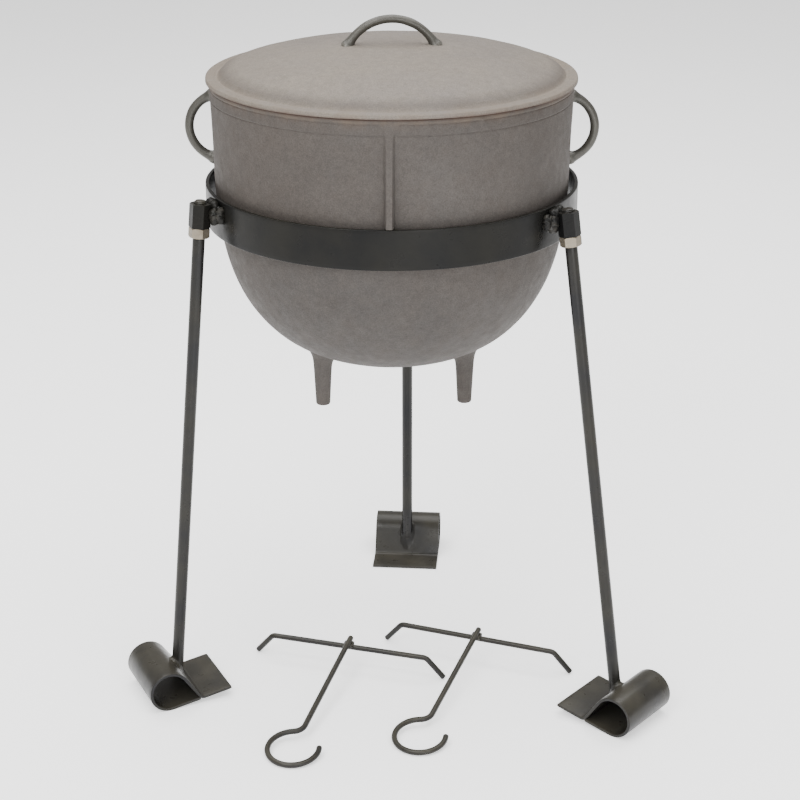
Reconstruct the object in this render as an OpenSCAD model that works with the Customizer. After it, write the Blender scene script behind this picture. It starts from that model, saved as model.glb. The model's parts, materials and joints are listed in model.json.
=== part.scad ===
// Cast-iron stew pot with a domed lid, held in a band ring on three screwed-in legs,
// with two T-handled lift hooks. Millimetres, +Z up. The origin is on the floor,
// on the axis of the pot and the ring. The front of the object faces -Y.

/* [Pot] */
// Height of the rim above the floor, where the lid rests
rim_z = 825; // [815:1:835]
// Outer radius of the rim bead
rim_r = 237; // [236:0.5:239]
// Outer radius of the wall, just under the collar
wall_top_r = 236; // [235:0.5:236]
// Outer radius of the wall where the bowl starts to round in
wall_low_r = 233; // [231:0.5:234]
// Height where the bowl starts to round in
bowl_top_z = 740; // [735:1:745]
// Height of the lowest point of the bowl
bowl_low_z = 451; // [445:1:455]
// Roundness of the bowl: 2 is an ellipse, more is squarer
bowl_power = 2.73; // [2.4:0.01:2.9]
// Thickness of the cast wall
wall_t = 6.5; // [5.5:0.5:7]
// Thickness of the rib that carries the pot on the ring
rib_t = 11; // [9:0.5:13]
// How far the foot of a rib reaches from the axis
rib_reach = 247; // [246:0.5:249]
// Radius of the circle that the pot's own short legs stand on
short_leg_circle = 110; // [104:1:114]
// Height of the short legs' flat ends above the floor
short_leg_z = 394; // [388:1:400]
// Turn of the short legs about the pot's axis, degrees
short_leg_turn = 3; // [0:1:6]

/* [Ears and lid] */
// Diameter of the ear bars
ear_bar_d = 12; // [11:0.5:13]
// Radius of the ear loop, to the middle of the bar
ear_loop_r = 42.5; // [41:0.5:44]
// Height of the middle of the ear loops
ear_z = 760; // [757:1:763]
// Outer radius of the lid
lid_r = 240; // [239:0.5:241]
// Thickness of the lid's flat flange
flange_t = 6.5; // [6:0.5:8]
// Height of the dome above the flange
dome_h = 37; // [32:1:40]
// Diameter of the lid handle's bar
bow_bar_d = 11; // [10:0.5:12]
// Distance between the feet of the lid handle
bow_span = 111; // [108:1:114]
// Clear height of the handle's middle above the middle of the dome
bow_clear = 26; // [25:1:30]

/* [Stand] */
// Outer radius of the band ring
ring_r = 245; // [245:0.5:246]
// Thickness of the ring's flat bar
ring_t = 5; // [4.5:0.5:5]
// Height of the ring's flat bar
ring_h = 51; // [48:1:53]
// Height of the ring's top edge above the floor
ring_top_z = 692; // [690:1:694]
// Turn of the three legs about the axis, degrees
stand_turn = -4; // [-8:1:0]
// Radius of the leg axes at the middle of the sockets
socket_axis_r = 268.5; // [266:0.5:270]
// How far each leg's foot stands from the axis, where the leg meets it: left, right, back
leg_base_r = [328, 365, 281]; // [275:1:375]
// Diameter of the leg rods and of their threads (5/8 inch)
rod_d = 15.88; // [15.88]
// Radial clearance of the threads
thread_gap = 0.06; // [0.03:0.01:0.09]
// Width of the socket across its flats
socket_af = 24.5; // [24:0.5:26]
// Length of the socket
socket_h = 31; // [30:1:34]
// Width of the lock nut across its flats
nut_af = 23.8; // [23.8]
// Height of the lock nut
nut_h = 13; // [12:0.5:14]

/* [Feet] */
// Width of a foot plate
foot_w = 100; // [90:1:105]
// Thickness of a foot plate
foot_t = 4; // [3.5:0.5:5]
// Outer radius of the rolled loop
loop_r = 28; // [26:1:30]
// Length of the tail from the middle of the loop
tail_l = 85; // [78:1:90]
// Steepness of the loop's inner side, degrees
slope_a = 64; // [60:1:68]
// Tilt of each foot that lifts its tail, degrees: left, right, back
foot_tilts = [8, 8, 0]; // [0:1:12]
// Turn of each foot from its leg's direction, degrees: left, right, back
foot_turns = [0, -5, 0]; // [-8:1:8]

/* [Lift hooks] */
// Diameter of the hook rods
hook_d = 8; // [7:0.5:9]
// Length of the straight part of the crossbar
hook_bar_l = 218; // [210:1:230]
// Drop of the crossbar's bent ends
hook_end_drop = 28; // [22:1:30]
// Distance from the crossbar to the middle of the hook's curl
hook_reach = 236; // [230:1:245]
// Radius of the hook's curl, to the middle of the rod
curl_r = 34; // [32:0.5:36]

/* [Hidden] */
SIDES = ["left", "right", "back"];
$fn = 96;
join = 1;             // how deep a cut or an embedded end runs past a face

// Colours
iron = [0.36, 0.34, 0.32];
forged = [0.24, 0.25, 0.24];
black = [0.06, 0.06, 0.06];
zinc = [0.72, 0.69, 0.62];

// Pot
bead_h = 6;           // height of the rounded bead at the rim
bead_in = 3;          // how far the bead's round edge falls back
collar_h = 20;        // height of the bead and collar together
collar_r = rim_r - 1; // outer radius of the collar
bowl_steps = 22;      // bands in the rounded bowl
bowl_floor_t = 8;     // thickness of the bowl's floor
rib_angles = [270, 30, 150];
rib_head_z = rim_z - bead_h / 2;
rib_toe_h = 10;
rib_seat_gap = 0.3;   // gap between a rib's foot and the ring's top edge
short_leg_top_r = 13;
short_leg_end_r = 9.5;
short_leg_join_z = bowl_low_z + 24;
rib_root_r = wall_low_r - wall_t / 2;
rib_foot_z = ring_top_z + rib_seat_gap;

// Ears
ear_x = 222;          // distance from the pot's axis to the middle of an ear loop
ear_sweep = 152;      // angle of the loop's bar, degrees

// Lid
lid_wall_t = 6;
dome_r = 224;         // radius of the dome's foot
dome_power = 1.56;    // shape of the dome's shoulder
dome_steps = 20;
groove_w = 4;
lip_r = 224;
lip_w = 6;
lip_h = 6;
lid_top_z = rim_z + flange_t + dome_h;

// Lid handle: a bow that is part of a circle
bow_turn = 3;
bow_foot_z = dome_z(bow_span / 2);
bow_top_z = lid_top_z + bow_clear + bow_bar_d / 2;
bow_rise = bow_top_z - bow_foot_z;
bow_r = (pow(bow_span / 2, 2) + pow(bow_rise, 2)) / (2 * bow_rise);
bow_half_a = asin(bow_span / 2 / bow_r);
bow_foot_r = 9.5;
bow_foot_h = 9;
bow_foot_sink = 2;    // how deep a foot of the handle is cast into the dome
bow_foot_end_r = bow_bar_d / 2 + 0.4;

// Stand
leg_angles = [210 + stand_turn, 330 + stand_turn, 90 + stand_turn];
socket_z = ring_top_z - 18.5;    // middle of the sockets
joint_z = 38;                    // height where a leg meets its foot
ring_sides = 180;                // segments of the ring's outline
thread_tip = 4;                  // how far the thread stands out of the socket
tip_bevel = 2;
socket_weld_r = 9;
socket_weld_h = 28;
socket_weld_out = 6;             // how far a bead's middle lies outside the ring
socket_weld_side = 13;           // how far a bead lies to the side of its socket's axis
foot_embed = 14;                 // how far a rod would run on past its foot's face
leg_contact = 28;                // from the leg's foot point to the middle of the loop
foot_weld_low_r = 15;
foot_weld_top_r = rod_d / 2 + 0.6;
foot_weld_h = 14;

// Hooks
hook_names = ["left", "right"];
hook_places = [[-61, -80], [120, -54]];
hook_turns = [-16, -20];
hook_end_a = 50;                 // bend of the crossbar's ends
hook_bend_r = 10;
// Straight length past the bend, so that the end's lower edge is hook_end_drop + hook_d / 2 down
hook_end_l = (hook_end_drop + hook_d / 2 * (1 - cos(hook_end_a))
    - hook_bend_r * (1 - cos(hook_end_a))) / sin(hook_end_a);
hook_lift = hook_d - 0.5;        // the rod lies on top of the crossbar
hook_poke = 12;                  // how far the rod runs past the crossbar
neck_r = 16;
rod_sides = 12;
hook_weld_r = 3.5;
hook_weld_out = 0.55 * hook_d;   // how far a weld's middle lies from the crossing, each way
neck_y = sqrt(pow(curl_r + neck_r, 2) - neck_r * neck_r);
neck_a = atan2(neck_y, -neck_r);
curl_end_a = 377;
hook_tilt = atan((hook_end_drop + hook_lift) / (hook_reach + curl_r));

// Height of the dome's outer face at a distance from the axis
function dome_z(r) =
    rim_z + flange_t + dome_h * pow(max(0, 1 - pow(r / dome_r, 2)), 1 / dome_power);

// Rounded bowl outline from its top edge to its lowest point, as [radius, height]
function bowl(r, top, low) = [
    for (i = [0 : bowl_steps])
        let (a = 90 * i / bowl_steps)
            [r * pow(cos(a), 2 / bowl_power), top - (top - low) * pow(sin(a), 2 / bowl_power)]
];

// Splay of a leg from upright, and its length from its foot to the middle of its socket
function splay(i) = atan((leg_base_r[i] - socket_axis_r) / (socket_z - joint_z));
function leg_l(i) = (socket_z - joint_z) / cos(splay(i));

// ---------- Pot ----------

module pot_outline(r_top, r_low, low_z) {
    polygon(concat([[0, rim_z + join], [r_top, rim_z + join]], bowl(r_low, bowl_top_z, low_z)));
}

module pot_skin() {
    rotate_extrude()
        polygon(concat(
            [[0, rim_z], [rim_r - bead_in, rim_z], [rim_r, rim_z - bead_in],
             [rim_r, rim_z - bead_h], [collar_r, rim_z - bead_h - join],
             [collar_r, rim_z - collar_h], [wall_top_r - 1, rim_z - collar_h - join]],
            bowl(wall_low_r, bowl_top_z, bowl_low_z)
        ));
}

module pot_cavity() {
    rotate_extrude()
        pot_outline(wall_top_r - wall_t - 1, wall_low_r - wall_t, bowl_low_z + bowl_floor_t);
}

// A rib runs down the wall and stands out at its foot, which rests on the ring
module rib() {
    rotate([90, 0, 0])
        translate([0, 0, -rib_t / 2])
            linear_extrude(rib_t)
                polygon([
                    [rib_root_r, rib_foot_z], [rib_reach, rib_foot_z],
                    [rib_reach, rib_foot_z + rib_toe_h], [rim_r, rib_head_z],
                    [rib_root_r, rib_head_z]
                ]);
}

module short_leg() {
    translate([short_leg_circle, 0, short_leg_z])
        cylinder(h = short_leg_join_z - short_leg_z, r1 = short_leg_end_r, r2 = short_leg_top_r);
}

module pot() {
    color(iron)
        difference() {
            union() {
                pot_skin();
                for (a = rib_angles)
                    rotate([0, 0, a]) rib();
                for (a = [90, 210, 330])
                    rotate([0, 0, a + short_leg_turn]) short_leg();
            }
            pot_cavity();
        }
}

// An ear is a bar bent to part of a circle, cast into the wall at both ends
module ear(side) {
    color(forged)
        rotate([0, 0, side])
            translate([ear_x, 0, ear_z])
                rotate([90, 0, 0])
                    rotate([0, 0, -ear_sweep / 2])
                        rotate_extrude(angle = ear_sweep)
                            translate([ear_loop_r, 0]) circle(d = ear_bar_d);
}

// ---------- Lid ----------

module lid() {
    top = rim_z + flange_t;
    outer = [for (i = [0 : dome_steps])
        let (r = dome_r * sin(90 * (1 - i / dome_steps))) [r, dome_z(r)]];
    inner = [for (i = [0 : dome_steps])
        let (r = (dome_r - lid_wall_t) * sin(90 * i / dome_steps))
            [r, dome_z(r * dome_r / (dome_r - lid_wall_t)) - lid_wall_t]];
    color(iron)
        rotate_extrude()
            polygon(concat(
                [[lip_r, rim_z], [lid_r, rim_z], [lid_r, top - 1], [lid_r - 1, top],
                 [dome_r + groove_w, top], [dome_r + groove_w / 2, top - 1]],
                outer, inner,
                [[lip_r - lip_w, rim_z - lip_h], [lip_r, rim_z - lip_h]]
            ));
}

module lid_handle() {
    color(forged)
        rotate([0, 0, bow_turn]) {
            translate([0, 0, bow_top_z - bow_r])
                rotate([90, 0, 0])
                    rotate([0, 0, 90 - bow_half_a])
                        rotate_extrude(angle = 2 * bow_half_a)
                            translate([bow_r, 0]) circle(d = bow_bar_d);
            for (s = [-1, 1])
                translate([s * bow_span / 2, 0, bow_foot_z - bow_foot_sink])
                    cylinder(h = bow_foot_h, r1 = bow_foot_r, r2 = bow_foot_end_r);
        }
}

// ---------- Stand ----------

module ring_band() {
    color(black)
        translate([0, 0, ring_top_z - ring_h])
            difference() {
                cylinder(h = ring_h, r = ring_r, $fn = ring_sides);
                translate([0, 0, -join])
                    cylinder(h = ring_h + 2 * join, r = ring_r - ring_t, $fn = ring_sides);
            }
}

// Puts its children on a leg's axis: z = 0 where the leg meets its foot, +z up to the socket
module on_leg(i) {
    rotate([0, 0, leg_angles[i]])
        translate([leg_base_r[i], 0, joint_z])
            rotate([0, -splay(i), 0])
                children();
}

module socket_block(i) {
    on_leg(i)
        translate([0, 0, leg_l(i) - socket_h / 2])
            rotate([0, 0, 30])
                cylinder(h = socket_h, r = socket_af / 2 / cos(30), $fn = 6);
}

module socket(i) {
    color(black)
        difference() {
            socket_block(i);
            on_leg(i)
                translate([0, 0, leg_l(i) - socket_h])
                    cylinder(h = 2 * socket_h, d = rod_d + 2 * thread_gap);
        }
}

// Two upright beads join the socket's back corners to the ring
module socket_weld(i) {
    color(black)
        difference() {
            rotate([0, 0, leg_angles[i]])
                for (s = [-1, 1])
                    translate([ring_r + socket_weld_out, s * socket_weld_side, socket_z])
                        cylinder(h = socket_weld_h, r = socket_weld_r, center = true);
            socket_block(i);
            cylinder(h = ring_top_z + join, r = ring_r, $fn = ring_sides);
        }
}

// Region inside a rolled loop of radius r and its straight inner side, down to the tail
module loop_region(r) {
    touch_a = 90 + slope_a;
    floor_y = foot_t - loop_r;
    touch = r * [cos(touch_a), sin(touch_a)];
    circle(r);
    polygon([[0, max(floor_y, -r)], [0, 0], touch,
             [touch.x - (touch.y - floor_y) / tan(slope_a), floor_y]]);
}

// Outline of a foot plate seen from its end, x outwards, about the middle of its loop.
// With solid = true the loop is filled in, for trimming what is welded to it.
module foot_outline(solid) {
    difference() {
        union() {
            loop_region(loop_r);
            translate([-tail_l, -loop_r]) square([tail_l, foot_t]);
        }
        if (!solid) loop_region(loop_r - foot_t);
    }
}

module foot_shape(i, solid) {
    rotate([0, 0, leg_angles[i]])
        translate([leg_base_r[i], 0, 0])
            rotate([0, 0, foot_turns[i]])
                translate([leg_contact, 0, loop_r])
                    rotate([90, 0, 0])
                        rotate([0, 0, -foot_tilts[i]])
                            translate([0, 0, -foot_w / 2])
                                linear_extrude(foot_w)
                                    foot_outline(solid);
}

module foot(i) {
    color(black) foot_shape(i, false);
}

module leg_rod(i) {
    top = leg_l(i) + socket_h / 2 + thread_tip;
    color(black)
        difference() {
            on_leg(i) {
                translate([0, 0, -foot_embed]) cylinder(h = top + foot_embed - tip_bevel, d = rod_d);
                translate([0, 0, top - tip_bevel])
                    cylinder(h = tip_bevel, d1 = rod_d, d2 = rod_d - 2 * tip_bevel);
            }
            foot_shape(i, true);
        }
}

module foot_weld(i) {
    color(black)
        difference() {
            on_leg(i)
                translate([0, 0, -foot_embed / 2])
                    cylinder(h = foot_weld_h + foot_embed / 2, r1 = foot_weld_low_r, r2 = foot_weld_top_r);
            on_leg(i)
                translate([0, 0, -foot_embed]) cylinder(h = leg_l(i), d = rod_d);
            foot_shape(i, true);
        }
}

module jam_nut(i) {
    color(zinc)
        on_leg(i)
            translate([0, 0, leg_l(i) - socket_h / 2 - nut_h])
                difference() {
                    cylinder(h = nut_h, r = nut_af / 2 / cos(30), $fn = 6);
                    translate([0, 0, -join])
                        cylinder(h = nut_h + 2 * join, d = rod_d + 2 * thread_gap);
                }
}

// ---------- Lift hooks ----------

// Stands a hook on the floor, on its crossbar's bent ends and the far side of its curl
module on_floor(k) {
    translate([hook_places[k].x, hook_places[k].y, hook_d / 2 + hook_end_drop * cos(hook_tilt)])
        rotate([0, 0, hook_turns[k]])
            rotate([hook_tilt, 0, 0])
                children();
}

// Points of an arc about c, from angle a0 to a1
function arc(c, r, a0, a1, steps) =
    [for (i = [0 : steps]) let (a = a0 + (a1 - a0) * i / steps) c + r * [cos(a), sin(a)]];

// A round rod that follows a path in the XY plane
module rod_along(path, d) {
    last = len(path) - 1;
    rings = [for (i = [0 : last])
        let (step = path[min(i + 1, last)] - path[max(i - 1, 0)], t = step / norm(step))
            for (k = [0 : rod_sides - 1])
                let (a = 360 * k / rod_sides)
                    [path[i].x - t.y * cos(a) * d / 2, path[i].y + t.x * cos(a) * d / 2,
                     sin(a) * d / 2]];
    walls = [for (i = [0 : last - 1], k = [0 : rod_sides - 1])
        let (n = (k + 1) % rod_sides, j = i * rod_sides)
            [j + k, j + n, j + n + rod_sides, j + k + rod_sides]];
    ends = [[for (k = [rod_sides - 1 : -1 : 0]) k],
            [for (k = [0 : rod_sides - 1]) last * rod_sides + k]];
    polyhedron(rings, concat(walls, ends));
}

// The crossbar, with both ends bent down
module hook_bar(k) {
    half = hook_bar_l / 2;
    tip = [half + hook_bend_r * sin(hook_end_a) + hook_end_l * cos(hook_end_a),
           -hook_bend_r * (1 - cos(hook_end_a)) - hook_end_l * sin(hook_end_a)];
    right = concat(arc([half, -hook_bend_r], hook_bend_r, 90, 90 - hook_end_a, 4), [tip]);
    left = [for (i = [len(right) - 1 : -1 : 0]) [-right[i].x, right[i].y]];
    color(black)
        on_floor(k)
            rotate([90, 0, 0]) rod_along(concat(left, right), hook_d);
}

// The shank, its neck and its curl
module hook_rod(k) {
    neck = arc([-neck_r, neck_y - hook_reach], neck_r, 0, neck_a - 180, 6);
    curl = arc([0, -hook_reach], curl_r, neck_a, curl_end_a, 24);
    color(black)
        on_floor(k)
            translate([0, 0, hook_lift])
                rod_along(concat([[0, hook_poke]], neck, [for (i = [1 : len(curl) - 1]) curl[i]]), hook_d);
}

// Fillet welds in the four corners where the rod crosses the bar
module hook_weld(k) {
    color(black)
        on_floor(k)
            translate([0, 0, hook_lift / 2])
                for (x = [-1, 1], y = [-1, 1])
                    translate([x * hook_weld_out, y * hook_weld_out, 0]) sphere(r = hook_weld_r);
}

// ---------- Nodes ----------

lid();
lid_handle();
pot();
ear(180);  // ear_left
ear(0);  // ear_right
ring_band();
for (i = [0 : 2]) {
    socket(i);
    socket_weld(i);
    leg_rod(i);
    jam_nut(i);
    foot(i);
    foot_weld(i);
}
for (k = [0 : 1]) {
    hook_bar(k);
    hook_rod(k);
    hook_weld(k);
}
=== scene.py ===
import json
import math

import bmesh
import bpy
import numpy as np
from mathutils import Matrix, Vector, noise


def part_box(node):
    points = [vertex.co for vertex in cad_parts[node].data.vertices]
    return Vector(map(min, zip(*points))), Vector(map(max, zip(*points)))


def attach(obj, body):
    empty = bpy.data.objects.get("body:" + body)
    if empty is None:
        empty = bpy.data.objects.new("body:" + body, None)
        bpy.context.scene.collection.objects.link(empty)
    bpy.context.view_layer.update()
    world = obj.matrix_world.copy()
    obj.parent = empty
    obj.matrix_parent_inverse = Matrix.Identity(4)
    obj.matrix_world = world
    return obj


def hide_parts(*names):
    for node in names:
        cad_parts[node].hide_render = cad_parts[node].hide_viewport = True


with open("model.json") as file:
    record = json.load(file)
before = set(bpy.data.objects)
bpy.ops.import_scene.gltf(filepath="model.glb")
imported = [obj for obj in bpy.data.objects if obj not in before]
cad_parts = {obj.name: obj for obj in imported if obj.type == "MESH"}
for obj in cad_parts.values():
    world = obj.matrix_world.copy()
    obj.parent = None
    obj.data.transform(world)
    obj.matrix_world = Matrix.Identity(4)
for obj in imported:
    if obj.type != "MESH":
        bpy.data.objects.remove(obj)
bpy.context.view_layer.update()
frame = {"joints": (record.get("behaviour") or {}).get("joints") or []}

# Looks of a cast-iron stew pot on a three-legged ring stand, with its lid and two lift hooks.
# Lengths are in millimetres until skin() turns them into metres.

MM = 0.001
SIDES = ("left", "right", "back")
SHARP_ANGLE = 38
BEAD_RIPPLE = 3.6
BEAD_SIDES = 20
rng = np.random.default_rng(7)


# ---------- Sizes, from the frame ----------

def low(node):
    """Lowest corner of a node's box."""
    return np.array(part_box(node)[0]) / MM


def high(node):
    """Highest corner of a node's box."""
    return np.array(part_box(node)[1]) / MM


def joint(name):
    return next(j for j in frame["joints"] if j["name"] == name)


RING_TOP = high("ring_band")[2]
RING_LOW = low("ring_band")[2]
RING_R = high("ring_band")[0]
RING_T = 5.0
LIP_H = 6.0
RIM_Z = low("lid")[2] + LIP_H
LID_R = high("lid")[0]
LID_TOP = high("lid")[2]
DOME_R = 224.0
FLANGE_T = 6.5
RIM_R = 237.0
WALL_LOW_R = 233.0
WALL_T = 6.5
BOWL_TOP = 740.0
BOWL_LOW = 451.0
BOWL_POWER = 2.73
FLOOR_T = 8.0
BEAD_H = 6.0
COLLAR_H = 20.0
RIB_REACH = 247.0
RIB_ANGLES = (270, 30, 150)
NUB_ANGLE = 298.0
NUB_REACH = 2.4
NUB_HALF_W = 4.2
NUB_HALF_H = 3.4
NUB_DROP = 8.0
SHORT_LEG_ANGLES = (93, 213, 333)
SHORT_LEG_CIRCLE = 110.0
SHORT_LEG_END = low("pot")[2]
ROD_R = 7.94
BORE_R = ROD_R + 0.05
SOCKET_H = 31.0
SOCKET_FLATS = 24.5
SOCKET_MIDDLE = RING_TOP - 18.5
RIB_FOOT = RING_TOP + 0.3
NUT_H = 13.0
NUT_FLATS = 23.8
NUT_GAP = 0.05
THREAD_TIP = 4.0
THREAD_PITCH = 2.309
FOOT_W = 100.0
FOOT_T = 4.0
LOOP_R = 28.0
FOOT_TILTS = {"left": 8, "right": 8, "back": 0}
FOOT_TURNS = {"left": 0, "right": -5, "back": 0}
FOOT_SLOPE = math.radians(64)
FOOT_TAIL = 85.0
LEG_CONTACT = 28.0


# ---------- Mesh helpers ----------

def wobble(points, size, amount, seed=0.0):
    """Smooth random offsets, one number for each point."""
    shift = Vector((seed * 13.1, seed * 7.7, seed * 3.3))
    return np.array([noise.noise(Vector(p) / size + shift) for p in points]) * amount


def skin(name, rings, poles=(None, None), loop=False, sharp=SHARP_ANGLE):
    """A closed mesh over rings of points. It closes on itself (loop), or ends in poles or flat caps."""
    rings = np.asarray(rings, float)
    rows, columns = rings.shape[:2]
    verts = [tuple(p) for p in rings.reshape(-1, 3) * MM]
    faces = []
    for i in range(rows if loop else rows - 1):
        a, b = i * columns, (i + 1) % rows * columns
        for k in range(columns):
            n = (k + 1) % columns
            faces.append((a + k, a + n, b + n, b + k))
    if not loop:
        for pole, row, turn in ((poles[0], 0, -1), (poles[1], rows - 1, 1)):
            ends = [row * columns + k for k in range(columns)][::turn]
            centre = rings[row].mean(0) if pole is None else np.asarray(pole, float)
            verts.append(tuple(centre * MM))
            tip = len(verts) - 1
            faces += [(ends[k], ends[(k + 1) % columns], tip) for k in range(columns)]
    mesh = bpy.data.meshes.new(name)
    mesh.from_pydata(verts, [], faces)
    built = bmesh.new()
    built.from_mesh(mesh)
    bmesh.ops.recalc_face_normals(built, faces=built.faces)
    built.to_mesh(mesh)
    built.free()
    mesh.shade_smooth()
    mesh.set_sharp_from_angle(angle=math.radians(sharp))
    piece = bpy.data.objects.new(name, mesh)
    bpy.context.scene.collection.objects.link(piece)
    return piece


def rounded(corners, radii, steps=5):
    """A line through corners, with each inner corner turned into a smooth bend."""
    corners = [np.asarray(c, float) for c in corners]
    line = [corners[0]]
    for before, corner, after, r in zip(corners, corners[1:], corners[2:], radii):
        into, out = before - corner, after - corner
        cut = min(r, 0.45 * np.linalg.norm(into), 0.45 * np.linalg.norm(out))
        a = corner + into / np.linalg.norm(into) * cut
        b = corner + out / np.linalg.norm(out) * cut
        for t in np.linspace(0, 1, steps + 1):
            line.append((1 - t) ** 2 * a + 2 * t * (1 - t) * corner + t * t * b)
    line.append(corners[-1])
    return np.array(line)


def spaced(line, step):
    """The same line with points no further apart than step."""
    out = [line[0]]
    for a, b in zip(line, line[1:]):
        parts = max(1, math.ceil(np.linalg.norm(b - a) / step))
        out += [a + (b - a) * (i + 1) / parts for i in range(parts)]
    return np.array(out)


def lathe(profile, angles):
    """Rings about the Z axis for each [radius, height] of a profile."""
    return np.array([[(r * math.cos(a), r * math.sin(a), z) for a in angles] for r, z in profile])


def arc(centre, radius, start, end, steps):
    turn = np.radians(np.linspace(start, end, steps + 1))
    return np.stack([centre[0] + radius * np.cos(turn), centre[1] + radius * np.sin(turn)], 1)


def tube(path, radii, sides=24, up=(0, 0, 1)):
    """Rings of a round bar along a path; radii holds one radius for each point."""
    path = np.asarray(path, float)
    heading = np.gradient(path, axis=0)
    heading /= np.linalg.norm(heading, axis=1)[:, None]
    side = np.cross(heading[0], up)
    rings = []
    for p, t, r in zip(path, heading, radii):
        side = side - t * side.dot(t)
        side /= np.linalg.norm(side)
        other = np.cross(t, side)
        turn = np.linspace(0, 2 * math.pi, sides, endpoint=False)
        rings.append(p + r * (np.outer(np.cos(turn), side) + np.outer(np.sin(turn), other)))
    return np.array(rings)


def bar_ends(path, radius, edge=1.2, rows=4):
    """Radii and points of a cut bar whose two ends have small rounded edges."""
    path = np.asarray(path, float)
    first, last = path[1] - path[0], path[-2] - path[-1]
    first, last = first / np.linalg.norm(first), last / np.linalg.norm(last)
    lift = [edge * (1 - math.cos(a)) for a in np.linspace(0, math.pi / 2, rows + 1)]
    shrink = [edge * (1 - math.sin(a)) for a in np.linspace(0, math.pi / 2, rows + 1)]
    points = [path[0] + first * d for d in lift] + list(path[1:-1])
    points += [path[-1] + last * d for d in lift[::-1]]
    radii = [radius - s for s in shrink] + [radius] * (len(path) - 2)
    radii += [radius - s for s in shrink[::-1]]
    return np.array(points), np.array(radii)


def weld_bead(name, path, radius, seed):
    """A lumpy weld run with overlapping ripples along its path."""
    path = spaced(np.asarray(path, float), 0.7)
    along = np.concatenate([[0], np.cumsum(np.linalg.norm(np.diff(path, axis=0), axis=1))])
    ripple = 0.93 + 0.1 * np.abs(np.sin(math.pi * along / BEAD_RIPPLE))
    lumps = 1 + wobble(path, 7.0, 0.28, seed)
    ends = np.sqrt(np.clip(np.minimum(along, along[-1] - along) / radius, 0.02, 1))
    rings = tube(path, radius * ripple * lumps * ends, BEAD_SIDES, up=(0.3, 0.2, 0.9))
    flat = rings.reshape(-1, 3)
    rings = flat + (flat - np.repeat(path, BEAD_SIDES, 0)) * wobble(flat, 3.0, 0.16, seed + 1)[:, None]
    return skin(name, rings.reshape(len(path), BEAD_SIDES, 3))


def joined(name, parts):
    """One object out of several."""
    with bpy.context.temp_override(active_object=parts[0], selected_editable_objects=parts):
        bpy.ops.object.join()
    parts[0].name = name
    return parts[0]


def fused(piece, others):
    """One closed solid out of a piece and the solids that grow out of it."""
    for other in others:
        cut = piece.modifiers.new("fuse", "BOOLEAN")
        cut.operation = "UNION"
        cut.solver = "EXACT"
        cut.object = other
    bpy.context.view_layer.update()
    whole = bpy.data.meshes.new_from_object(piece.evaluated_get(bpy.context.evaluated_depsgraph_get()))
    piece.modifiers.clear()
    piece.data = whole
    for other in others:
        bpy.data.objects.remove(other)
    whole.shade_smooth()
    whole.set_sharp_from_angle(angle=math.radians(SHARP_ANGLE))
    return piece


def dress(piece, material, body, node):
    piece.data.materials.clear()
    piece.data.materials.append(material)
    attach(piece, body)
    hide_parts(node)
    return piece


# ---------- Materials ----------

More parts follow.
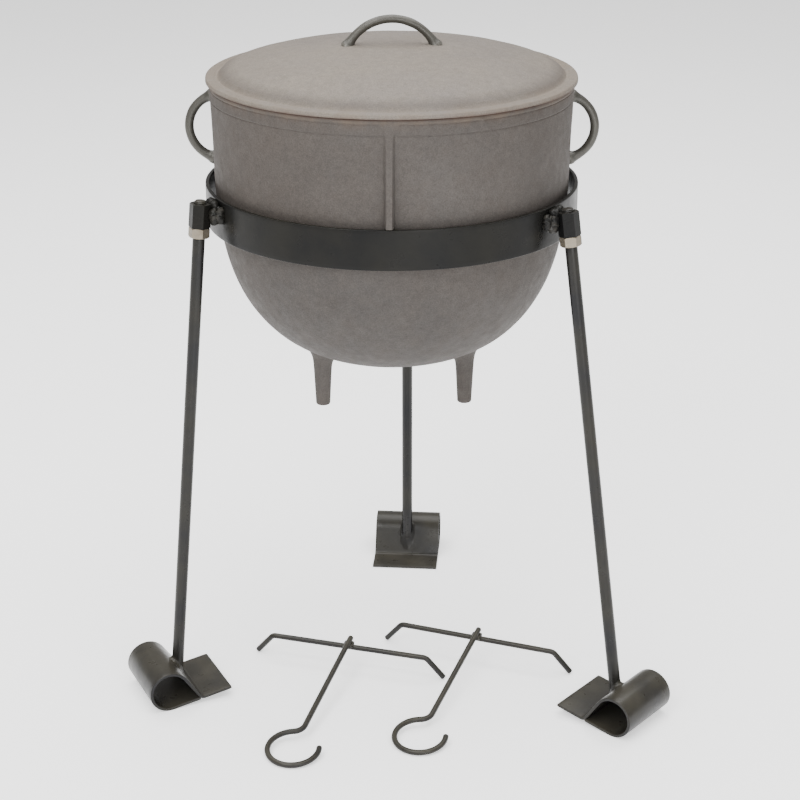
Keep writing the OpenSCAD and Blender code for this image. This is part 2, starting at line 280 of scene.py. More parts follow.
class Nodes:
    """Short calls for a material's shader nodes."""

    def __init__(self, name):
        self.material = bpy.data.materials.new(name)
        self.material.use_nodes = True
        self.tree = self.material.node_tree
        self.shader = self.tree.nodes["Principled BSDF"]
        self.place = self.tree.nodes.new("ShaderNodeTexCoord").outputs["Object"]

    def link(self, a, b):
        self.tree.links.new(a, b)

    def noise(self, scale, detail=3, rough=0.55, place=None):
        n = self.tree.nodes.new("ShaderNodeTexNoise")
        n.inputs["Scale"].default_value = scale
        n.inputs["Detail"].default_value = detail
        n.inputs["Roughness"].default_value = rough
        self.link(place or self.place, n.inputs["Vector"])
        return n.outputs["Fac"]

    def cells(self, scale):
        n = self.tree.nodes.new("ShaderNodeTexVoronoi")
        n.inputs["Scale"].default_value = scale
        self.link(self.place, n.inputs["Vector"])
        return n.outputs["Distance"]

    def ramp(self, value, stops):
        n = self.tree.nodes.new("ShaderNodeValToRGB")
        n.color_ramp.elements[0].position, n.color_ramp.elements[1].position = stops[0][0], stops[-1][0]
        for position, _ in stops[1:-1]:
            n.color_ramp.elements.new(position)
        for element, (_, colour) in zip(n.color_ramp.elements, stops):
            shade = colour if isinstance(colour, tuple) else (colour,) * 3
            element.color = (*shade, 1)
        self.link(value, n.inputs["Fac"])
        return n.outputs["Color"]

    def math(self, operation, a, b):
        n = self.tree.nodes.new("ShaderNodeMath")
        n.operation = operation
        for socket, value in zip(n.inputs, (a, b)):
            if isinstance(value, (int, float)):
                socket.default_value = value
            else:
                self.link(value, socket)
        return n.outputs["Value"]

    def mix(self, share, a, b, blend="MIX"):
        n = self.tree.nodes.new("ShaderNodeMix")
        n.data_type = "RGBA"
        n.blend_type = blend
        for socket, value in ((n.inputs[0], share), (n.inputs[6], a), (n.inputs[7], b)):
            if isinstance(value, tuple):
                socket.default_value = (*value, 1)
            elif isinstance(value, (int, float)):
                socket.default_value = value
            else:
                self.link(value, socket)
        return n.outputs[2]

    def height(self):
        n = self.tree.nodes.new("ShaderNodeSeparateXYZ")
        self.link(self.place, n.inputs[0])
        return n.outputs["Z"]

    def facing_up(self):
        g = self.tree.nodes.new("ShaderNodeNewGeometry")
        n = self.tree.nodes.new("ShaderNodeSeparateXYZ")
        self.link(g.outputs["Normal"], n.inputs[0])
        return n.outputs["Z"]

    def edges(self):
        return self.tree.nodes.new("ShaderNodeNewGeometry").outputs["Pointiness"]

    def bump(self, value, strength, distance, under=None):
        n = self.tree.nodes.new("ShaderNodeBump")
        n.inputs["Strength"].default_value = strength
        n.inputs["Distance"].default_value = distance
        self.link(value, n.inputs["Height"])
        if under is not None:
            self.link(under, n.inputs["Normal"])
        return n.outputs["Normal"]

    def finish(self, colour, rough, normal, metallic, **sockets):
        self.link(colour, self.shader.inputs["Base Color"])
        self.link(rough, self.shader.inputs["Roughness"])
        self.link(normal, self.shader.inputs["Normal"])
        self.shader.inputs["Metallic"].default_value = metallic
        for name, value in sockets.items():
            self.shader.inputs[name.replace("_", " ")].default_value = value
        return self.material


def cast_iron(name, dark, light, warm, rim_z):
    """Bare sand-cast iron: fine grain, grey and brown patches, rust, a worn flange at the rim and
    painted shade at the foot of the lid's dome.
    """
    n = Nodes(name)

    def belt(middle, half):
        """1 at a height, fading to 0 at half above and below it."""
        gap = n.math("ABSOLUTE", n.math("SUBTRACT", n.height(), middle), 0)
        return n.math("MAXIMUM", n.math("SUBTRACT", 1.0, n.math("DIVIDE", gap, half)), 0.0)

    patches = n.ramp(n.noise(4.5, 4, 0.6), [(0.34, 0.0), (0.66, 1.0)])
    mottle = n.ramp(n.noise(34, 5, 0.65), [(0.32, 0.0), (0.70, 1.0)])
    speckle = n.ramp(n.noise(130, 4, 0.7), [(0.34, 0.84), (0.66, 1.13)])
    grain = n.noise(620, 2, 0.7)
    base = n.mix(patches, dark, light)
    base = n.mix(n.math("MULTIPLY", mottle, 0.4), base, warm)
    drift = n.ramp(n.noise(2.6, 3, 0.5), [(0.40, 0.0), (0.60, 1.0)])
    base = n.mix(n.math("MULTIPLY", drift, 0.6), base, warm)
    base = n.mix(0.6, base, speckle, "MULTIPLY")
    base = n.mix(0.55, base, n.ramp(grain, [(0.28, 0.55), (0.72, 1.35)]), "MULTIPLY")
    spots = n.ramp(n.noise(26, 5, 0.7), [(0.40, 0.0), (0.62, 1.0)])
    rust = n.math("MULTIPLY", n.math("MULTIPLY", spots, belt(rim_z, 0.016)), 0.42)
    base = n.mix(rust, base, (0.095, 0.060, 0.040))
    # A darker belt round the foot of the lid's dome: painted shade in the shallow groove there.
    base = n.mix(n.math("MULTIPLY", belt(rim_z + 0.0125, 0.007), 0.45), base, (0.045, 0.037, 0.033))
    flange = n.math("ADD", 0.15, n.math("MULTIPLY", spots, 0.45))
    base = n.mix(n.math("MULTIPLY", belt(rim_z + 0.0055, 0.0035), flange), base, (0.155, 0.130, 0.104))
    base = n.mix(n.math("MULTIPLY", belt(rim_z - 0.0045, 0.0040), flange), base, (0.105, 0.082, 0.062))
    base = n.mix(n.math("MULTIPLY", belt(rim_z - 0.0005, 0.0030), 0.8), base, (0.050, 0.028, 0.020))
    rough = n.ramp(n.noise(70, 4), [(0.3, 0.60), (0.7, 0.76)])
    pits = n.ramp(n.cells(420), [(0.05, 0.0), (0.5, 1.0)])
    normal = n.bump(n.noise(160, 3), 0.34, 0.0010)
    normal = n.bump(pits, 0.36, 0.00035, normal)
    normal = n.bump(grain, 0.45, 0.00045, normal)
    return n.finish(base, rough, normal, 0.0, Specular_IOR_Level=0.22)


def forged_bar():
    """Dark oily iron bar with a hammered face."""
    n = Nodes("forged_bar")
    base = n.mix(n.noise(34, 4), (0.031, 0.030, 0.026), (0.068, 0.064, 0.053))
    base = n.mix(n.ramp(n.edges(), [(0.51, 0.0), (0.58, 0.6)]), base, (0.15, 0.14, 0.12))
    rough = n.ramp(n.noise(120, 3), [(0.3, 0.34), (0.7, 0.52)])
    normal = n.bump(n.noise(95, 2), 0.35, 0.0012)
    normal = n.bump(n.noise(700, 2), 0.25, 0.0003, normal)
    return n.finish(base, rough, normal, 0.30)


def black_paint(name, dark, light, gloss, dust_and_sheen_amount):
    """Satin black paint over mill scale, rubbed at its edges, with a lighter olive-brown tone on upward
    faces that is partly dust and partly painted top sheen.
    """
    n = Nodes(name)
    base = n.mix(n.ramp(n.noise(14, 3), [(0.35, 0.0), (0.65, 1.0)]), dark, light)
    # Upward faces turn lighter and olive-brown: partly dust, partly a painted highlight from the top
    # light.
    top_side = n.ramp(n.facing_up(), [(0.0, 0.05), (1.0, dust_and_sheen_amount)])
    dust_and_sheen = n.math("MULTIPLY", top_side, n.noise(24, 3, 0.5))
    base = n.mix(dust_and_sheen, base, (0.085, 0.077, 0.058))
    worn = n.math("MULTIPLY", n.ramp(n.edges(), [(0.54, 0.0), (0.60, 0.45)]), n.noise(240, 3))
    base = n.mix(worn, base, (0.11, 0.10, 0.085))
    rough = n.ramp(n.noise(60, 3), [(0.3, 0.26), (0.7, 0.38)])
    normal = n.bump(n.noise(230, 2), 0.20, 0.0005)
    normal = n.bump(n.noise(1100, 2), 0.10, 0.0002, normal)
    return n.finish(base, rough, normal, 0.0, Specular_IOR_Level=gloss)


def zinc_plate():
    """Dull yellowish zinc plate with fine turning marks and a few stains."""
    n = Nodes("zinc_plate")
    base = n.mix(n.noise(150, 4), (0.190, 0.160, 0.118), (0.265, 0.235, 0.186))
    base = n.mix(n.ramp(n.noise(60, 5, 0.7), [(0.56, 0.0), (0.74, 0.6)]), base, (0.13, 0.095, 0.06))
    rough = n.ramp(n.noise(260, 3), [(0.3, 0.32), (0.7, 0.52)])
    normal = n.bump(n.noise(900, 2), 0.25, 0.0002)
    return n.finish(base, rough, normal, 0.75)


# ---------- Pot ----------

def bowl_point(turn, radius, lowest):
    """[radius, height] of the rounded bowl, from its lowest point at 90 degrees to its top at 0."""
    power = 2 / BOWL_POWER
    return [radius * math.cos(turn) ** power, BOWL_TOP - (BOWL_TOP - lowest) * math.sin(turn) ** power]


def bowl_height(distance):
    """Height of the bowl's outer face at a distance from the axis."""
    cosine = (np.clip(distance / WALL_LOW_R, 0, 1)) ** (BOWL_POWER / 2)
    return BOWL_TOP - (BOWL_TOP - BOWL_LOW) * np.sqrt(1 - cosine ** 2) ** (2 / BOWL_POWER)


def rib_rows():
    """Heights close together where the ribs' feet end, for a crisp rounded edge."""
    return [RIB_FOOT + h for h in (-1.0, -0.05, 0.0, 0.02, 0.06, 0.14, 0.3, 0.55, 0.9, 1.4, 2.0, 3.0)]


def pot_profile():
    """Outline of the pot's section from the lowest point outside to the floor inside."""
    turns = np.radians(np.linspace(89.2, 0.6, 84))
    outer = [bowl_point(a, WALL_LOW_R, BOWL_LOW) for a in turns]
    heights = rib_rows()
    outer = [p for p in outer if not heights[0] - 1.5 < p[1] < heights[-1] + 1.5]
    outer += [[np.interp(z, [p[1] for p in outer], [p[0] for p in outer]), z] for z in heights]
    outer.sort(key=lambda p: p[1])
    collar_low, bead_low = RIM_Z - COLLAR_H, RIM_Z - BEAD_H
    upper = rounded(
        [(WALL_LOW_R, BOWL_TOP), (235.0, collar_low - 2.4), (234.3, collar_low - 0.8),
         (RIM_R - 1.1, collar_low + 0.5), (RIM_R - 1.0, bead_low - 2.2), (RIM_R - 1.7, bead_low - 0.8),
         (RIM_R, bead_low + 0.7), (RIM_R, RIM_Z), (RIM_R - 9.0, RIM_Z), (228.0, RIM_Z - 9.0)],
        [1.2, 1.0, 1.2, 1.0, 0.8, 1.2, 2.6, 1.6], 5)
    inner_r = WALL_LOW_R - WALL_T
    inner = [bowl_point(a, inner_r, BOWL_LOW + FLOOR_T) for a in np.radians(np.linspace(0, 89, 50))]
    return np.vstack([np.array(outer), spaced(upper, 3.2), np.array(inner)])


def rib_bulge(r, z, off):
    """How far the ribs stand out of the wall at height z, for side distances off from a rib's middle."""
    if z < RIB_FOOT or z > RIM_Z - 1:
        return np.zeros_like(off)
    face = np.interp(z, [RIB_FOOT + 10, RIM_Z - 3], [RIB_REACH - 0.3, RIM_R - 0.2])
    foot = 1 - max(0.0, 1 - (z - RIB_FOOT) / 2.2) ** 4
    height = max(0.0, face - r) * foot ** 0.25
    flare = 6.5 * math.exp(-max(0.0, RIM_Z - BEAD_H - z) / 4.0)
    half = np.interp(z, [RIB_FOOT, RIM_Z], [4.7, 5.3]) + flare
    edge = np.clip((half + 2.6 - off) / 4.4, 0, 1)
    return height * edge * edge * (3 - 2 * edge)


def pot_angles():
    """Angles of the columns, close together at the ribs and at the nub under the rim."""
    turns = set(np.round(np.arange(0, 360, 1.0), 3))
    for a in RIB_ANGLES:
        turns |= set(np.round(a + np.arange(-4.4, 4.41, 0.11), 3) % 360)
    turns |= set(np.round(NUB_ANGLE + np.arange(-2.2, 2.21, 0.2), 3))
    return np.radians(sorted(turns))


def short_leg(angle):
    """One of the pot's own legs, which grows out of the bowl with a soft root."""
    turns = np.linspace(0, 2 * math.pi, 56, endpoint=False)
    middle = SHORT_LEG_CIRCLE * np.array([math.cos(math.radians(angle)), math.sin(math.radians(angle))])
    rows = []
    rounding = [(0, 2.0), (0.004, 1.1), (0.012, 0.4), (0.03, 0)]
    for share, shrink in rounding + [(s, 0) for s in np.linspace(0.08, 1, 26)]:
        radius = 9.5 + 3.5 * share + 6.5 * math.exp(-(1 - share) * 70 / 4.5) - shrink
        x, y = middle[0] + radius * np.cos(turns), middle[1] + radius * np.sin(turns)
        top = bowl_height(np.hypot(x, y))
        rows.append(np.stack([x, y, SHORT_LEG_END + (top - SHORT_LEG_END) * share], 1))
    sunk = rows[-1].copy()
    sunk[:, 2] += 3.5
    return skin("short_leg", rows + [sunk])


def pot(material):
    profile, turns = pot_profile(), pot_angles()
    rings = lathe(profile, turns)
    degrees = np.degrees(turns)
    outside = np.argmax(profile[:, 1]) + 4
    for i, (r, z) in enumerate(profile):
        if i <= outside:
            bulge = np.zeros(len(turns))
            for a in RIB_ANGLES:
                off = np.abs((degrees - a + 180) % 360 - 180) * math.pi / 180 * r
                bulge = np.maximum(bulge, rib_bulge(r, z, off))
            aside = (degrees - NUB_ANGLE) * math.pi / 180 * r
            rise = (z - RIM_Z + NUB_DROP) / NUB_HALF_H
            bulge += NUB_REACH * np.exp(-(aside / NUB_HALF_W) ** 2 - rise ** 2)
            rings[i, :, :2] += np.stack([np.cos(turns), np.sin(turns)], 1) * bulge[:, None]
    flat = rings.reshape(-1, 3)
    uneven = wobble(flat, 34.0, 0.35, 1) + wobble(flat, 8.0, 0.12, 2)
    away = flat[:, :2] / np.maximum(np.linalg.norm(flat[:, :2], axis=1), 1)[:, None]
    flat[:, :2] += away * (uneven - 0.12)[:, None]
    rings = flat.reshape(rings.shape)
    body = skin("pot_casting", rings, ((0, 0, BOWL_LOW), (0, 0, BOWL_LOW + FLOOR_T)))
    body = fused(body, [short_leg(a) for a in SHORT_LEG_ANGLES])
    return dress(body, material, "pot_body", "pot")


def ear(side, name, material):
    """A round bar bent to part of a circle, which swells where it is cast into the wall."""
    x, z, radius, bar = 222.0, 760.0, 42.5, 6.0
    swing = np.radians(np.linspace(-78, 78, 66))
    path = np.stack([side * (x + radius * np.cos(swing)), 0 * swing, z + radius * np.sin(swing)], 1)
    clear = np.abs(path[:, 0]) - 235.5
    radii = bar - 0.15 + 3.2 * np.exp(-np.clip(clear, 0, None) / 3.4)
    radii += wobble(path, 16.0, 0.35, 3 + side)
    bar_mesh = skin(name, tube(path, radii, 32, up=(0, 1, 0)))
    return dress(bar_mesh, material, "pot_body", name.replace("_loop", ""))


# ---------- Lid ----------

def dome_height(r):
    top = LID_TOP - RIM_Z - FLANGE_T
    return RIM_Z + FLANGE_T + top * max(0.0, 1 - (r / DOME_R) ** 2) ** (1 / 1.56)


def lid(material):
    top = RIM_Z + FLANGE_T
    shoulder = 219.0
    dome = [[r, dome_height(r)] for r in shoulder * np.sin(np.radians(np.linspace(1.2, 90, 58)))]
    edge = rounded(
        [dome[-1], (DOME_R + 0.6, top - 0.9), (DOME_R + 3.4, top - 0.9), (DOME_R + 5.2, top - 0.1),
         (LID_R - 0.1, top - 0.5), (LID_R, RIM_Z), (DOME_R, RIM_Z), (DOME_R, RIM_Z - LIP_H),
         (DOME_R - 6, RIM_Z - LIP_H), (DOME_R - 7, RIM_Z + 1.5)],
        [4.0, 1.4, 1.2, 2.4, 1.0, 0.6, 1.2, 1.2], 6)
    under = [[r, dome_height(r * DOME_R / (DOME_R - 6)) - 6.0]
             for r in (DOME_R - 8) * np.sin(np.radians(np.linspace(84, 1.2, 34)))]
    profile = np.vstack([np.array(dome), spaced(edge, 2.4)[1:], np.array(under)])
    rings = lathe(profile, np.linspace(0, 2 * math.pi, 360, endpoint=False))
    flat = rings.reshape(-1, 3)
    flat[:, 2] += wobble(flat, 46.0, 0.5, 5) + wobble(flat, 9.0, 0.13, 6)
    flat[:, 2] -= 0.3 * (flat[:, 2] > RIM_Z + 20)
    flat[:, 2] = np.where(np.abs(flat[:, 2] - RIM_Z) < 0.6, np.maximum(flat[:, 2], RIM_Z), flat[:, 2])
    cap = skin("lid_casting", rings, ((0, 0, LID_TOP - 0.3), (0, 0, LID_TOP - 6.0)))
    return dress(cap, material, "lid_body", "lid")


def lid_handle(material):
    """A bow of round bar with flared feet, turned a little about the lid's axis."""
    bar, span, top, yaw = 5.5, 111.0, high("lid_handle")[2] - 5.5, math.radians(3)
    foot = dome_height(span / 2)
    rise = top - foot
    bow_r = ((span / 2) ** 2 + rise ** 2) / (2 * rise)
    half = math.asin(span / 2 / bow_r) + 0.05
    swing = np.linspace(-half, half, 64)
    path = np.stack([bow_r * np.sin(swing), 0 * swing, top - bow_r + bow_r * np.cos(swing)], 1)
    clear = np.clip(path[:, 2] - foot, 0, None)
    radii = bar - 0.12 + 3.8 * np.exp(-clear / 3.2) + wobble(path, 14.0, 0.3, 8)
    path = np.stack([path[:, 0] * math.cos(yaw), path[:, 0] * math.sin(yaw), path[:, 2]], 1)
    bow = skin("lid_bow", tube(path, radii, 32, up=(0, 1, 0)))
    return dress(bow, material, "lid_body", "lid_handle")


# ---------- Stand ----------

def ring_band(material):
    inner = RING_R - RING_T
    section = rounded(
        [(inner + 2, RING_TOP), (RING_R, RING_TOP), (RING_R, RING_LOW), (inner, RING_LOW),
         (inner, RING_TOP), (inner + 2, RING_TOP)], [1.1, 1.1, 1.1, 1.1], 4)[:-1]
    section = spaced(section, 5.0)
    turns = np.linspace(0, 2 * math.pi, 360, endpoint=False)
    rings = lathe(section, turns)
    flat = rings.reshape(-1, 3)
    away = flat[:, :2] / np.linalg.norm(flat[:, :2], axis=1)[:, None]
    flat[:, :2] += away * (wobble(flat, 60.0, 0.4, 9) - 0.2)[:, None]
    return dress(skin("ring_flat_bar", rings, loop=True), material, "stand", "ring_band")


class Leg:
    """A leg's own axes: along its rod, outward from the pot, and sideways."""

    def __init__(self, side):
        turn = joint(f"leg_{side}_turn")
        self.side = side
        self.foot = np.array(turn["pos_m"]) / MM
        self.along = np.array(turn["axis"]) / np.linalg.norm(turn["axis"])
        self.azimuth = math.atan2(self.foot[1], self.foot[0])
        out = np.array([math.cos(self.azimuth), math.sin(self.azimuth), 0])
        self.across = np.array([-out[1], out[0], 0])
        self.out = np.cross(self.across, self.along)
        self.radial = out
        self.length = (SOCKET_MIDDLE - self.foot[2]) / self.along[2]
        self.tilt = math.radians(FOOT_TILTS[side])
        heading = self.azimuth + math.radians(FOOT_TURNS[side])
        self.plate_out = np.array([math.cos(heading), math.sin(heading), 0])
        self.plate_side = np.array([-self.plate_out[1], self.plate_out[0], 0])
        self.loop_middle = self.foot * [1, 1, 0] + LEG_CONTACT * self.plate_out + [0, 0, LOOP_R]

    def at(self, x, y, z):
        """Points from x outward, y sideways and z along the rod."""
        x, y, z = np.broadcast_arrays(x, y, z)
        level = self.foot + np.multiply.outer(x, self.out) + np.multiply.outer(y, self.across)
        return level + np.multiply.outer(z, self.along)

    def in_foot(self, points):
        """Outward and upward distance of points from the middle of the foot's loop."""
        away = points - self.loop_middle
        return away @ self.plate_out, away[..., 2]

    def above_plate(self, points):
        """How far points stand off the outer face of the foot plate."""
        x, z = self.in_foot(points)
        touch = math.pi / 2 + FOOT_SLOPE - self.tilt
        normal = np.array([math.cos(touch), math.sin(touch)])
        down = np.array([-math.sin(touch), math.cos(touch)])
        past = x * down[0] + z * down[1]
        return np.where(past > 0, x * normal[0] + z * normal[1], np.hypot(x, z)) - LOOP_R

    def onto_plate(self, x, y, sink):
        """Distance along the rod at which the lines at x, y are sunk that deep in the foot plate."""
        a, b = np.full_like(x, -40.0), np.full_like(x, 60.0)
        for _ in range(36):
            m = (a + b) / 2
            outside = self.above_plate(self.at(x, y, m)) > -sink
            a, b = np.where(outside, a, m), np.where(outside, m, b)
        return (a + b) / 2


def hex_body(leg, name, flats, low_z, high_z, bevel, bore):
    """A hexagonal nut or socket about a leg's axis, with turned bevels and a round bore."""
    turns = np.linspace(0, 2 * math.pi, 144, endpoint=False)
    sector = (turns + math.pi / 6) % (math.pi / 3) - math.pi / 6
    hexagon = flats / 2 / np.cos(sector)
    corner = flats / 2 / math.cos(math.pi / 6)
    rows = []
    for depth in (0, 0.25, 0.5, 0.8, 1.2, 1.8, 2.6):
        rows.append((low_z + depth, np.minimum(hexagon, corner - bevel + depth * 1.7)))
    for depth in (2.6, 1.8, 1.2, 0.8, 0.5, 0.25, 0):
        rows.append((high_z - depth, np.minimum(hexagon, corner - bevel + depth * 1.7)))
    for z, r in ((high_z, bore + 0.9), (high_z - 0.9, bore), (low_z + 0.9, bore), (low_z, bore + 0.9)):
        rows.append((z, np.full_like(turns, r)))
    rings = [leg.at(r * np.cos(turns), r * np.sin(turns), z) for z, r in rows]
    return skin(name, rings, loop=True, sharp=24)


def socket(leg, material):
    middle = leg.length
    low_z, high_z = middle - SOCKET_H / 2, middle + SOCKET_H / 2
    block = hex_body(leg, f"socket_hex_{leg.side}", SOCKET_FLATS, low_z, high_z, 1.3, BORE_R)
    return dress(block, material, "stand", f"socket_{leg.side}")


def socket_weld(leg, index, material):
    """Weld runs down both back corners of a socket and across its top."""
    beads = []
    for s in (-1, 1):
        for run, (gap, side, radius) in enumerate(((8.0, 11.5, 7.4), (3.2, 18.5, 5.6))):
            steps = 16
            jitter = rng.normal(0, 0.7, steps)
            path = np.outer(RING_R + gap + jitter, leg.radial)
            path += np.outer(s * (side + rng.normal(0, 0.6, steps)), leg.across)
            path[:, 2] = SOCKET_MIDDLE + np.linspace(-12 + 3 * run, 12, steps)
            beads.append(weld_bead("bead", path, radius, 20 + index * 7 + s + 3 * run))
    path = np.outer(np.full(10, RING_R + 6.0), leg.radial)
    path += np.outer(np.linspace(-15, 15, 10), leg.across)
    path[:, 2] = SOCKET_MIDDLE + 12.5 + rng.normal(0, 0.5, 10)
    beads.append(weld_bead("bead", path, 6.2, 50 + index))
    weld = joined(f"socket_beads_{leg.side}", beads)
    return dress(weld, material, "stand", f"socket_weld_{leg.side}")


def leg_rod(leg, material):
    """A rod with a rolled thread at the top, sunk into its foot plate at the bottom."""
    turns = np.linspace(0, 2 * math.pi, 48, endpoint=False)
    x, y = ROD_R * np.cos(turns), ROD_R * np.sin(turns)
    rings = [leg.at(x, y, leg.onto_plate(x, y, 1.8))]
    socket_low, top = leg.length - SOCKET_H / 2, leg.length + SOCKET_H / 2 + THREAD_TIP
    thread_low = socket_low - NUT_H - 1.5
    plain = list(np.linspace(30, thread_low, 60))
    rows = plain + list(np.arange(thread_low + 0.3, socket_low - NUT_H + 1, 0.3))
    rows += list(np.linspace(socket_low, top - 5.2, 6)) + list(np.arange(top - 5, top + 0.01, 0.25))
    for z in rows:
        fade = min(1.0, max(0.0, (z - thread_low) / 2.0))
        phase = (z / THREAD_PITCH - turns / (2 * math.pi)) % 1
        depth = 0.85 * fade * np.abs(2 * phase - 1) ** 0.8
        tip = max(0.0, z - (top - 1.6)) * 1.1
        r = np.minimum(ROD_R - depth, ROD_R - tip)
        rings.append(leg.at(r * np.cos(turns), r * np.sin(turns), z))
    rod = skin(f"rod_{leg.side}", rings)
    return dress(rod, material, f"leg_{leg.side}", f"leg_rod_{leg.side}")


def jam_nut(leg, material):
    high_z = leg.length - SOCKET_H / 2 - NUT_GAP
    low_z = high_z - NUT_H + NUT_GAP
    nut = hex_body(leg, f"lock_nut_hex_{leg.side}", NUT_FLATS, low_z, high_z, 1.9, BORE_R)
    return dress(nut, material, f"lock_nut_{leg.side}", f"jam_nut_{leg.side}")


def foot_line():
    """Middle line of a foot plate seen from its end, from the tail's tip round the loop
    and back along the floor to the crease.
    """
    mid = LOOP_R - FOOT_T / 2
    touch = math.pi / 2 + FOOT_SLOPE
    start = mid * np.array([math.cos(touch), math.sin(touch)])
    crease_x = start[0] - (start[1] + mid) / math.tan(FOOT_SLOPE)
    bend = rounded([(-FOOT_TAIL, -mid), (crease_x, -mid), tuple(start)], [5.0], 9)
    loop = arc((0, 0), mid, math.degrees(touch), -90, 54)
    back = [(x, -mid) for x in np.linspace(-4, crease_x + 1.8, 9)]
    line = np.vstack([bend[:-1], loop, back])
    return spaced(line, 3.0)


def foot(leg, material):
    """A flat plate rolled into a loop, with rounded cut edges."""
    line = foot_line()
    heading = np.gradient(line, axis=0)
    heading /= np.linalg.norm(heading, axis=1)[:, None]
    normal = np.stack([-heading[:, 1], heading[:, 0]], 1)
    half_w, half_t, edge = FOOT_W / 2, FOOT_T / 2, 0.9
    section = rounded(
        [(0, half_t), (half_w, half_t), (half_w, -half_t),
         (-half_w, -half_t), (-half_w, half_t), (0, half_t)],
        [edge] * 4, 3)[:-1]
    section = spaced(section, 9.0)
    c, s = math.cos(leg.tilt), math.sin(leg.tilt)
    tilt = np.array([[c, s], [-s, c]])
    rings = []
    last = len(line) - 1
    for i, (p, n) in enumerate(zip(line, normal)):
        thin = 0.72 if i in (0, last) else 1.0
        flat = (p + np.outer(section[:, 1] * thin, n)) @ tilt.T
        width = section[:, 0] * (1 - 0.006 * (i in (0, last)))
        ring = leg.loop_middle + np.outer(flat[:, 0], leg.plate_out) + np.outer(width, leg.plate_side)
        ring[:, 2] += flat[:, 1]
        rings.append(ring)
    plate = skin(f"rolled_foot_{leg.side}", rings)
    return dress(plate, material, f"leg_{leg.side}", f"foot_{leg.side}")


def foot_weld(leg, index, material):
    """A concave fillet weld round the rod, with ripples."""
    turns = np.linspace(0, 2 * math.pi, 96, endpoint=False)
    circle = np.stack([np.cos(turns), np.sin(turns), 0 * turns], 1)
    spread = 6.2 + 1.0 * np.abs(np.sin(turns * 5)) + wobble(circle, 0.5, 1.6, 50 + index)
    climb = 8.5 + 0.7 * np.abs(np.sin(turns * 5 + 0.6))
    rings = []
    for u in np.linspace(0, 1, 12):
        swell = 0.35 * math.sin(math.pi * u) * np.abs(np.sin(turns * 5 + 2 * u))
        r = ROD_R + 0.1 + spread * (1 - u) ** 1.7 + swell
        x, y = r * np.cos(turns), r * np.sin(turns)
        base = leg.onto_plate(x, y, 0.5)
        rings.append(leg.at(x, y, base + climb * u ** 1.6))
    for r, z in ((ROD_R - 0.8, climb), (ROD_R - 0.8, 0)):
        x, y = r * np.cos(turns), r * np.sin(turns)
        rings.append(leg.at(x, y, leg.onto_plate(x, y, 0.5) + z))
    weld = skin(f"foot_fillet_{leg.side}", rings, loop=True)
    return dress(weld, material, f"leg_{leg.side}", f"foot_weld_{leg.side}")


# ---------- Lift hooks ----------

class Hook:
    """A lift hook's own axes: the crossbar along x, the shank along -y."""

    drop, reach, curl_r, bar_d, lift = 28.0, 236.0, 34.0, 8.0, 7.5

    def __init__(self, name, place, turn):
        self.name = name
        self.place = place
        self.turn = math.radians(turn)
        self.tilt = math.atan((self.drop + self.lift) / (self.reach + self.curl_r))

    def at(self, points):
        """Points of the hook stood on the floor."""
        p = np.asarray(points, float)
        y = p[..., 1] * math.cos(self.tilt) - p[..., 2] * math.sin(self.tilt)
        z = p[..., 1] * math.sin(self.tilt) + p[..., 2] * math.cos(self.tilt)
        x, c, s = p[..., 0], math.cos(self.turn), math.sin(self.turn)
        base = self.bar_d / 2 + self.drop * math.cos(self.tilt)
        return np.stack([x * c - y * s + self.place[0], x * s + y * c + self.place[1], z + base], -1)


def smooth_bar(name, path, radius, seed):
    points, radii = bar_ends(path, radius)
    return skin(name, tube(points, radii - 0.15 + wobble(points, 20.0, 0.12, seed), 28))


def hook_bar(hook, material):
    half, bend_r, angle = 109.0, 10.0, math.radians(50)
    length = (hook.drop + 4 * (1 - math.cos(angle)) - bend_r * (1 - math.cos(angle))) / math.sin(angle)
    bend = arc((half, -bend_r), bend_r, 90, 40, 10)
    tip = bend[-1] + length * np.array([math.cos(angle), -math.sin(angle)])
    right = np.vstack([bend, [tip]])
    left = right[::-1] * [-1, 1]
    line = spaced(np.vstack([left, right]), 4.0)
    path = hook.at(np.stack([line[:, 0], 0 * line[:, 0], line[:, 1]], 1))
    bar = smooth_bar(f"crossbar_{hook.name}", path, hook.bar_d / 2, 60)
    return dress(bar, material, f"hook_{hook.name}", f"hook_bar_{hook.name}")


def hook_rod(hook, material):
    neck_r, poke = 16.0, 12.0
    neck_y = math.sqrt((hook.curl_r + neck_r) ** 2 - neck_r ** 2)
    join = math.degrees(math.atan2(neck_y, -neck_r))
    neck = arc((-neck_r, neck_y - hook.reach), neck_r, 0, join - 180, 14)
    curl = arc((0, -hook.reach), hook.curl_r, join, 377, 60)
    line = np.vstack([spaced(np.array([[0, poke], neck[0]]), 6.0), neck[1:], curl[1:]])
    path = hook.at(np.stack([line[:, 0], line[:, 1], np.full(len(line), hook.lift)], 1))
    rod = smooth_bar(f"shank_{hook.name}", path, hook.bar_d / 2, 61)
    return dress(rod, material, f"hook_{hook.name}", f"hook_rod_{hook.name}")


def hook_weld(hook, material):
    """A lumpy weld in the four corners of the crossing."""
    turns = np.linspace(0, 2 * math.pi, 64, endpoint=False)
    rings = []
    for a in turns:
        thick = 1.7 + 1.5 * abs(math.sin(2 * a)) ** 1.5
        around = np.linspace(0, 2 * math.pi, 16, endpoint=False)
        r = 5.6 + thick * np.cos(around)
        points = np.stack([r * math.cos(a), r * math.sin(a), hook.lift / 2 + thick * np.sin(around)], 1)
        rings.append(hook.at(points + wobble(points, 2.4, 0.5, 70)[:, None]))
    weld = skin(f"hook_fillet_{hook.name}", rings, loop=True)
    return dress(weld, material, f"hook_{hook.name}", f"hook_weld_{hook.name}")


# ---------- Build ----------

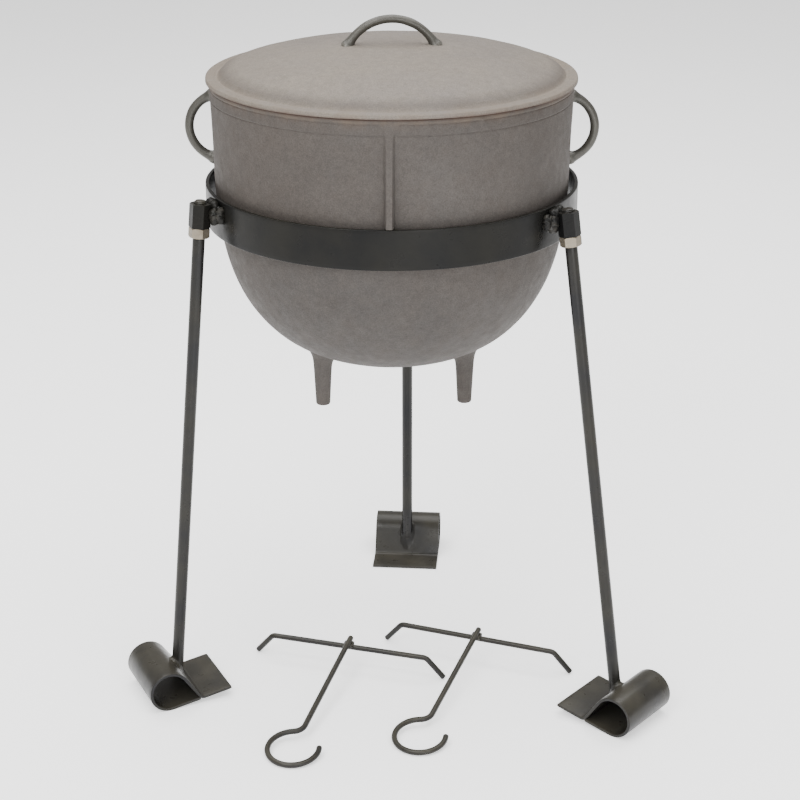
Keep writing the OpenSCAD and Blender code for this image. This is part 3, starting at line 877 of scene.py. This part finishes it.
pot_iron = cast_iron(
    "cast_iron", dark=(0.044, 0.0400, 0.0375), light=(0.068, 0.0620, 0.0575),
    warm=(0.060, 0.0495, 0.042), rim_z=RIM_Z * MM)
# The lid's iron is a lighter, warmer copy of the pot's: partly a dustier tone, partly painted top light.
lid_iron_dusty_and_top_lit = cast_iron(
    "cast_iron_lid_dusty_and_top_lit", dark=(0.108, 0.0945, 0.0920), light=(0.150, 0.134, 0.119),
    warm=(0.158, 0.136, 0.108), rim_z=RIM_Z * MM)
bar_iron = forged_bar()
paint = black_paint(
    "black_paint", dark=(0.0036, 0.0038, 0.0042), light=(0.0078, 0.0074, 0.0062),
    gloss=0.13, dust_and_sheen_amount=0.12)
# The legs take much of the upward-facing tone: dust and painted top sheen.
leg_paint = black_paint(
    "black_paint_legs", dark=(0.0052, 0.0056, 0.0074), light=(0.0145, 0.0134, 0.0104),
    gloss=0.23, dust_and_sheen_amount=0.6)
zinc = zinc_plate()

pot(pot_iron)
ear(-1, "ear_left_loop", bar_iron)
ear(1, "ear_right_loop", bar_iron)
lid(lid_iron_dusty_and_top_lit)
lid_handle(bar_iron)
ring_band(paint)
for index, side in enumerate(SIDES):
    leg = Leg(side)
    socket(leg, paint)
    socket_weld(leg, index, paint)
    leg_rod(leg, leg_paint)
    jam_nut(leg, zinc)
    foot(leg, leg_paint)
    foot_weld(leg, index, leg_paint)
for hook in (Hook("left", (-61.0, -80.0), -16), Hook("right", (120.0, -54.0), -20)):
    hook_bar(hook, leg_paint)
    hook_rod(hook, leg_paint)
    hook_weld(hook, leg_paint)


# ---------- Floor, light and camera ----------

def pale_floor():
    bpy.ops.mesh.primitive_plane_add(size=40, location=(0, 6, 0))
    plane = bpy.context.object
    plane.name = "floor"
    n = Nodes("pale_floor")
    shade = n.mix(n.noise(3, 3), (0.88, 0.88, 0.88), (0.91, 0.91, 0.91))
    rough = n.ramp(n.noise(9, 2), [(0.3, 0.75), (0.7, 0.85)])
    n.shader.inputs["Emission Color"].default_value = (1.0, 1.0, 1.0, 1.0)
    surface = n.finish(shade, rough, n.bump(n.noise(40, 2), 0.05, 0.001), 0.0, Emission_Strength=0.8)
    plane.data.materials.append(surface)


def area_light(name, place, aim, size, power):
    light = bpy.data.lights.new(name, "AREA")
    light.shape = "RECTANGLE"
    light.size, light.size_y = size
    light.energy = power
    lamp = bpy.data.objects.new(name, light)
    lamp.location = place
    lamp.rotation_euler = (Vector(aim) - Vector(place)).to_track_quat("-Z", "Y").to_euler()
    bpy.context.scene.collection.objects.link(lamp)


def studio():
    world = bpy.data.worlds.new("studio")
    world.use_nodes = True
    world.node_tree.nodes["Background"].inputs["Color"].default_value = (1.0, 0.99, 0.98, 1)
    world.node_tree.nodes["Background"].inputs["Strength"].default_value = 0.5
    bpy.context.scene.world = world
    aim = (0, 0, 0.55)
    area_light("key", (-1.2, -2.4, 2.6), aim, (2.0, 1.6), 85)
    area_light("fill", (0.9, -2.8, 1.1), aim, (1.6, 1.4), 45)
    area_light("top", (0.0, 0.3, 3.6), aim, (4.5, 4.5), 310)


def camera():
    data = bpy.data.cameras.new("camera")
    data.lens = 83.57
    data.sensor_width = 36
    shot = bpy.data.objects.new("camera", data)
    shot.location = (0.0323, -2.3811, 1.3352)
    shot.rotation_euler = (math.radians(68.04), 0, math.radians(0.52))
    bpy.context.scene.collection.objects.link(shot)
    bpy.context.scene.camera = shot


pale_floor()
studio()
camera()
